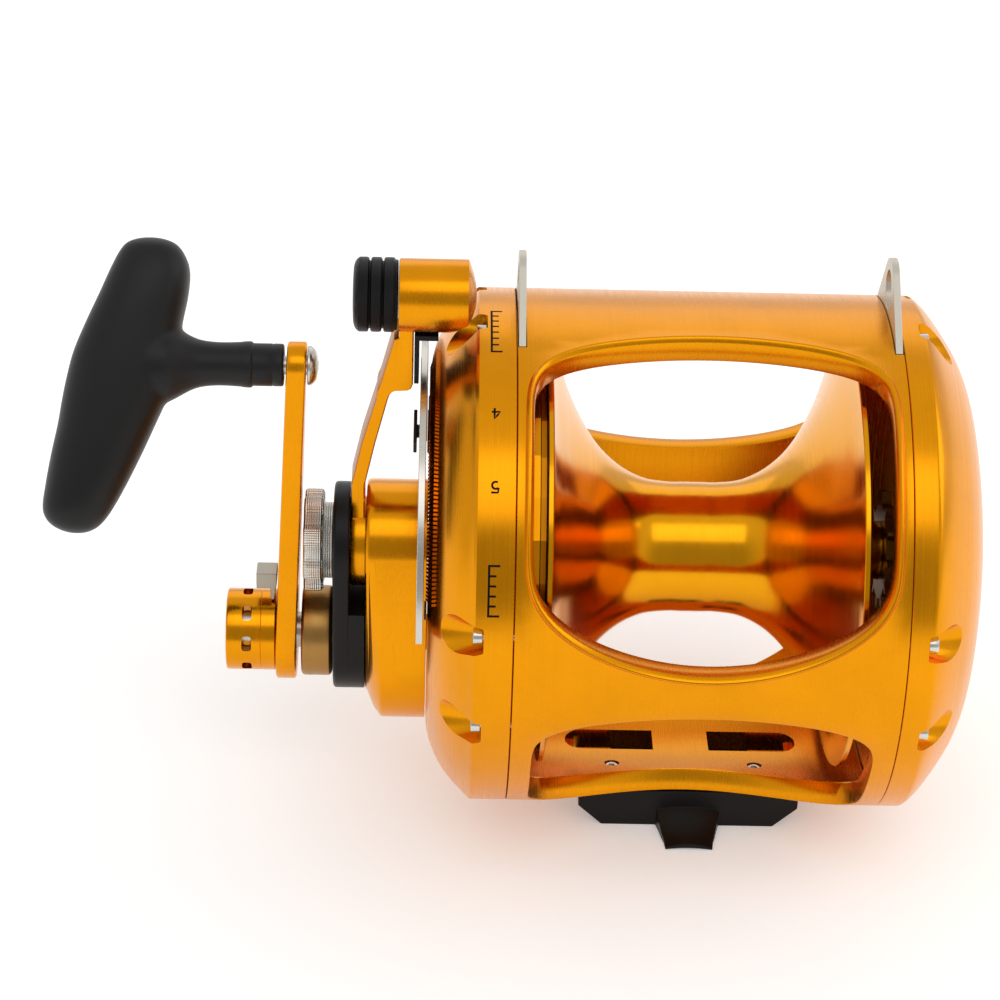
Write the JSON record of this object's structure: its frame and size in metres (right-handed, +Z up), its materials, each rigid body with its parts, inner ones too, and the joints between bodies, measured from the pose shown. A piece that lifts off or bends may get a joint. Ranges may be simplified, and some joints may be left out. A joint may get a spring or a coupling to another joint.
{
  "type": "trolling reel",
  "caption": "Two-speed lever-drag trolling reel: gold tubular frame with domed side plates, dished spool, cranked handle with T-grip, drag lever with quadrant, harness lugs and rod foot.",
  "frame": {"origin": "centre of the reel foot's flat underside, below the middle of the spool", "axes": "+X along the spool axis from the handle side to the clicker side, -Y towards the rod tip, +Z up from the rod to the harness lugs"},
  "size_m": [0.3008, 0.1691, 0.1997],
  "materials": {
    "gold_anodised": "gold anodised, turned and satin polished",
    "black_anodised": "black anodised, satin",
    "stainless": "brushed",
    "bronze": "satin, slightly tarnished",
    "gear_steel": "machined",
    "soft_grip": "soft matt",
    "drag_carbon": "carbon fibre weave"
  },
  "bodies": {
    "root": {"frame": "gold_anodised", "drive_side_plate": "gold_anodised", "clicker_side_plate": "gold_anodised", "plate_screw_d1": "stainless", "plate_screw_d2": "stainless", "plate_screw_d3": "stainless", "plate_screw_d4": "stainless", "plate_screw_d5": "stainless", "plate_screw_d6": "stainless", "plate_screw_d7": "stainless", "plate_screw_d8": "stainless", "plate_screw_c1": "stainless", "plate_screw_c2": "stainless", "plate_screw_c3": "stainless", "plate_screw_c4": "stainless", "plate_screw_c5": "stainless", "plate_screw_c6": "stainless", "plate_screw_c7": "stainless", "plate_screw_c8": "stainless", "gear_housing": "gold_anodised", "gear_cover": "black_anodised", "handle_bearing": "gear_steel", "quadrant_plate": "stainless", "quadrant_post_1": "black_anodised", "quadrant_post_2": "black_anodised", "strike_stop": "black_anodised", "harness_lug_d": "stainless", "harness_lug_c": "stainless", "reel_foot": "black_anodised", "foot_screw_1": "stainless", "foot_screw_2": "stainless", "foot_screw_3": "stainless", "foot_screw_4": "stainless", "spool_shaft": "stainless"},
    "spool": {"spool": "gold_anodised", "spool_bearing_d": "gear_steel", "spool_bearing_c": "gear_steel", "drag_washer": "drag_carbon", "click_gear": "bronze"},
    "drive": {"drag_plate": "gear_steel", "pinion_cluster": "gear_steel"},
    "handle": {"handle_shaft": "stainless", "high_gear": "bronze", "ratchet_wheel": "gear_steel", "handle_collar": "bronze", "handle_arm": "gold_anodised", "handle_cap": "gold_anodised", "grip_bolt": "stainless"},
    "low_gear": {"low_gear": "bronze"},
    "grip": {"grip": "soft_grip"},
    "shift": {"shift_button": "stainless"},
    "lock": {"lock_tab": "stainless"},
    "lever": {"drag_lever": "gold_anodised", "lever_knob": "black_anodised", "lever_slider": "black_anodised"},
    "follower": {"cam_follower": "gear_steel"},
    "preset": {"preset_knob": "stainless"},
    "strike": {"strike_button": "black_anodised"},
    "clicker": {"clicker_slide": "black_anodised"},
    "dog": {"antireverse_dog": "gear_steel"}
  },
  "joints": [
    {"name": "spool_spin", "type": "hinge", "parent": "root", "child": "spool", "pos_m": [0, 0, 0.0943], "axis": [1, 0, 0], "continuous": true},
    {"name": "drive_spin", "type": "hinge", "parent": "root", "child": "drive", "pos_m": [0, 0, 0.0943], "axis": [1, 0, 0], "continuous": true},
    {"name": "handle_turn", "type": "hinge", "parent": "root", "child": "handle", "pos_m": [-0.1, 0, 0.0583], "axis": [1, 0, 0], "continuous": true},
    {"name": "low_gear_spin", "type": "hinge", "parent": "root", "child": "low_gear", "pos_m": [-0.07, 0, 0.0583], "axis": [1, 0, 0], "continuous": true},
    {"name": "grip_spin", "type": "hinge", "parent": "handle", "child": "grip", "pos_m": [-0.15, 0, 0.1601], "axis": [1, 0, 0], "continuous": true},
    {"name": "shift_press", "type": "slide", "parent": "handle", "child": "shift", "axis": [1, 0, 0], "range_m": [0, 0.004]},
    {"name": "lock_slide", "type": "slide", "parent": "handle", "child": "lock", "axis": [0, 0, 1], "range_m": [0, 0.003]},
    {"name": "lever_swing", "type": "hinge", "parent": "root", "child": "lever", "pos_m": [0, 0, 0.0943], "axis": [1, 0, 0], "range_deg": [-75, 64]},
    {"name": "follower_slide", "type": "slide", "parent": "root", "child": "follower", "axis": [1, 0, 0], "range_m": [-0.0008, 0.0008]},
    {"name": "preset_turn", "type": "hinge", "parent": "root", "child": "preset", "pos_m": [0, 0, 0.0943], "axis": [1, 0, 0], "range_deg": [-170, 170]},
    {"name": "strike_press", "type": "slide", "parent": "root", "child": "strike", "axis": [1, 0, 0], "range_m": [0, 0.0007], "stiffness_N_per_m": 400, "springref_m": -0.001},
    {"name": "clicker_move", "type": "slide", "parent": "root", "child": "clicker", "axis": [0, -0.8387, 0.5446], "range_m": [0, 0.004]},
    {"name": "dog_swing", "type": "hinge", "parent": "root", "child": "dog", "pos_m": [-0.098, 0.017, 0.0663], "axis": [1, 0, 0], "range_deg": [0, 7.5], "stiffness_Nm_per_rad": 0.01, "springref_deg": -5.73}
  ],
  "couplings": [
    {"joint": "drive_spin", "follows": "spool_spin", "ratio": 1},
    {"joint": "handle_turn", "follows": "spool_spin", "ratio": -0.5},
    {"joint": "low_gear_spin", "follows": "spool_spin", "ratio": -0.76471},
    {"joint": "follower_slide", "follows": "lever_swing", "m_per_rad": 0.0005}
  ]
}
